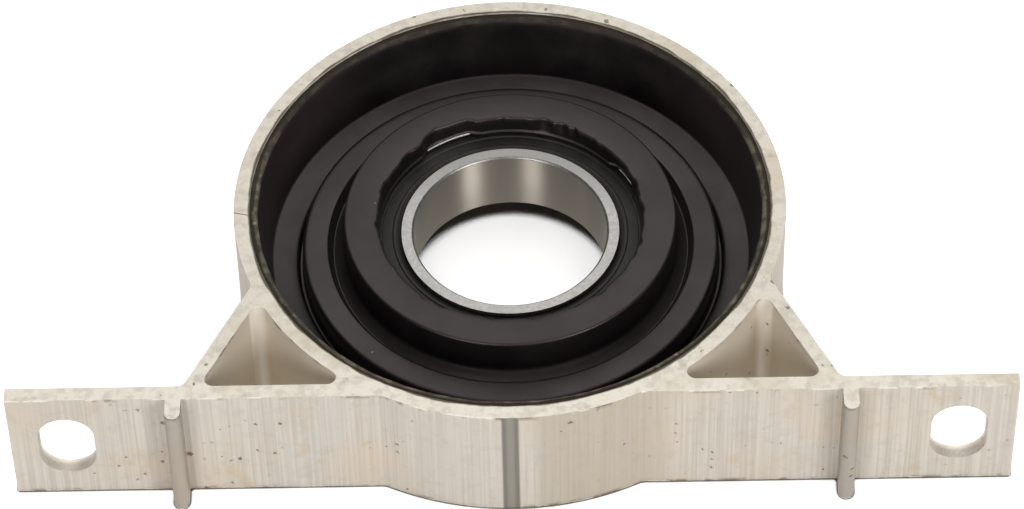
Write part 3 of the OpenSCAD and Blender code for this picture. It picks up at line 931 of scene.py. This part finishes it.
# %% Bond line
BOND_DARK = (0.065, 0.054, 0.041)
BOND_LIGHT = (0.165, 0.138, 0.103)
FLAKE = (0.24, 0.2, 0.145)
BOND_BACK = (0.012, 0.009, 0.008)
BOND_BACK_Y = (4.0 * MM, 20.0 * MM)
BOND_GAP = (0.018, 0.0145, 0.008)
BOND_GAP_R = (39.6 * MM, 39.9 * MM)
BOND_GAP_WAVE = 0.6 * MM
BOND_SHEEN = 0.18
BOND_FROM_R = 38.6
bond_line, tree, surface = new_material("bond_line")
here = object_place(tree)
smears = placed(tree, patches, here, Fineness=420.0, Low=0.42, High=0.66)
flakes = placed(tree, specks, here, Fineness=800.0, Size=0.4, Share=0.15)
wavy = times(tree, placed(tree, patches, here, Fineness=190.0, Low=0.2, High=0.8), BOND_GAP_WAVE)
in_gap = fade(tree, maths(tree, "ADD", shaft_distance(tree, here), wavy), *BOND_GAP_R)
at_back = fade(tree, split_axes(tree, here)["Y"], *BOND_BACK_Y)
colour = mixed(tree, smears, BOND_DARK, BOND_LIGHT)
colour = mixed(tree, flakes, colour, FLAKE)
colour = tinted(tree, colour, at_back, 0.75, BOND_BACK)
colour = tinted(tree, colour, in_gap, 0.85, BOND_GAP)
feed(tree, colour, surface.inputs["Base Color"])
feed(tree, between(tree, smears, 0.7, 0.85), surface.inputs["Roughness"])
surface.inputs["Specular IOR Level"].default_value = BOND_SHEEN
raised(tree, surface, smears, 0.5, 0.15 * MM)

for look in (rubber, bond_line):
    bush.data.materials.append(look)
for face in bush.data.polygons:
    on_film = polar(face.center)[0] > BOND_FROM_R and face.center.z > RIM_FILM_Z * MM
    face.material_index = 1 if on_film else 0
print("bond line faces", sum(1 for face in bush.data.polygons if face.material_index == 1))

# %% [markdown]
# ## Ground steel
# The face of the ring is ground flat and looks satin, mottled, with a few nicks, and darker to the back:
# painted shade.
# The bore is ground round: its scratches run about the shaft, so each low strip becomes one upright stripe.
# The shader's anisotropy with a tangent about Z does that.

# %% Ground steel
FACE_DARK = (0.28, 0.272, 0.258)
FACE_LIGHT = (0.34, 0.332, 0.315)
FACE_MOTTLE = (0.42, 0.407, 0.39)
BACK_PAINTED_SHADE = (0.22, 0.213, 0.203)
BACK_SHADE_Y = (2.0 * MM, 14.0 * MM)
NICK = (0.2, 0.18, 0.16)
BORE_DARK = (0.293, 0.263, 0.222)
BORE_LIGHT = (0.366, 0.33, 0.285)
QUARTER_TURN = 0.25
BORE_R = 15.3
BORE_FACING = 0.2
face_steel, tree, surface = new_material("ground_steel_face")
here = object_place(tree)
rings = placed(tree, turning_marks, here, Fineness=3000.0)
mottle = noise(tree, here, 1500.0, detail=4.0, roughness=0.65)
nicks = placed(tree, specks, here, Fineness=260.0, Size=0.16, Share=0.12)
colour = mixed(tree, rings, FACE_DARK, FACE_LIGHT)
colour = tinted(tree, colour, fade(tree, mottle, 0.42, 0.62), 0.75, FACE_MOTTLE)
# The back of the face is darker: painted shade where the ring's wall blocks its reflection.
colour = tinted(tree, colour, fade(tree, split_axes(tree, here)["Y"], *BACK_SHADE_Y), 0.7, BACK_PAINTED_SHADE)
colour = mixed(tree, nicks, colour, NICK)
feed(tree, colour, surface.inputs["Base Color"])
feed(tree, between(tree, mottle, 0.26, 0.48), surface.inputs["Roughness"])
surface.inputs["Metallic"].default_value = 1.0
raised(tree, surface, maths(tree, "ADD", rings, mottle), 0.3, 0.03 * MM)

bore_steel, tree, surface = new_material("ground_steel_bore")
rings = placed(tree, turning_marks, object_place(tree), Fineness=5000.0)
feed(tree, mixed(tree, rings, BORE_DARK, BORE_LIGHT), surface.inputs["Base Color"])
feed(tree, between(tree, rings, 0.42, 0.47), surface.inputs["Roughness"])
surface.inputs["Metallic"].default_value = 1.0
surface.inputs["Anisotropic"].default_value = 1.0
surface.inputs["Anisotropic Rotation"].default_value = QUARTER_TURN
about_shaft = add(tree, "ShaderNodeTangent", direction_type="RADIAL", axis="Z")
feed(tree, about_shaft.outputs["Tangent"], surface.inputs["Tangent"])

for look in (face_steel, bore_steel):
    inner_ring.data.materials.append(look)
for face in inner_ring.data.polygons:
    in_bore = polar(face.center)[0] < BORE_R and abs(face.normal.z) < BORE_FACING
    face.material_index = 1 if in_bore else 0
print("bore faces", sum(1 for face in inner_ring.data.polygons if face.material_index == 1))

# %% [markdown]
# ## Seals and sleeve
# The seals are thin black rubber with a fine grain and a few smears. The sleeve is zinc-plated, which looks
# pale and a little spangled, and less like a mirror than bare steel.

# %% Seal rubber and zinc plate
SEAL_DARK = (0.007, 0.0072, 0.0066)
SEAL_LIGHT = (0.014, 0.014, 0.0128)
SEAL_SHEEN = 0.36
SEAL_TINT = (1.0, 0.92, 0.88, 1)
ZINC_DARK = (0.36, 0.35, 0.335)
ZINC_LIGHT = (0.50, 0.49, 0.47)
ZINC_METALLIC = 0.4
seal_rubber, tree, surface = new_material("seal_rubber")
here = object_place(tree)
grain = noise(tree, here, 1900.0, detail=4.0)
smears = placed(tree, patches, here, Fineness=170.0, Low=0.45, High=0.7)
feed(tree, mixed(tree, smears, SEAL_DARK, SEAL_LIGHT), surface.inputs["Base Color"])
feed(tree, between(tree, grain, 0.42, 0.6), surface.inputs["Roughness"])
surface.inputs["Specular IOR Level"].default_value = SEAL_SHEEN
surface.inputs["Specular Tint"].default_value = SEAL_TINT
raised(tree, surface, grain, 0.4, 0.08 * MM)
for seal in seals:
    seal.data.materials.append(seal_rubber)

zinc_plate, tree, surface = new_material("zinc_plate")
spangle = placed(tree, patches, object_place(tree), Fineness=900.0, Low=0.35, High=0.65)
feed(tree, mixed(tree, spangle, ZINC_DARK, ZINC_LIGHT), surface.inputs["Base Color"])
feed(tree, between(tree, spangle, 0.4, 0.55), surface.inputs["Roughness"])
surface.inputs["Metallic"].default_value = ZINC_METALLIC
raised(tree, surface, spangle, 0.2, 0.03 * MM)
sleeve.data.materials.append(zinc_plate)
print("seals and sleeve", seal_rubber.name, zinc_plate.name)

# %% [markdown]
# ## Hidden pieces
# The outer ring, cage, rivets and balls are inside, but they are finished as well, because the part may be
# opened. Their CAD nodes stay as they are and only get a material, chosen by the start of the node's name.

# %% Outer ring, cage and balls


def plain_steel(name, dark, light, smooth, dull, fineness):
    """A steel finish with turning marks, between two colours and two roughnesses."""
    look, tree, surface = new_material(name)
    marks = placed(tree, turning_marks, object_place(tree), Fineness=fineness)
    feed(tree, mixed(tree, marks, dark, light), surface.inputs["Base Color"])
    feed(tree, between(tree, marks, smooth, dull), surface.inputs["Roughness"])
    surface.inputs["Metallic"].default_value = 1.0
    return look


hidden_finish = {
    "outer_ring": plain_steel("ring_steel", (0.55, 0.54, 0.52), (0.66, 0.65, 0.63), 0.22, 0.34, 3500.0),
    "cage_": plain_steel("cage_steel", (0.46, 0.45, 0.43), (0.60, 0.59, 0.57), 0.3, 0.45, 1800.0),
    "ball_": plain_steel("ball_steel", (0.68, 0.68, 0.68), (0.74, 0.74, 0.74), 0.06, 0.1, 900.0),
}
dressed = 0
for node, piece in frame["nodes"].items():
    for start, look in hidden_finish.items():
        if node.startswith(start):
            piece.data.materials.clear()
            piece.data.materials.append(look)
            dressed += 1
print("dressed CAD nodes", dressed)
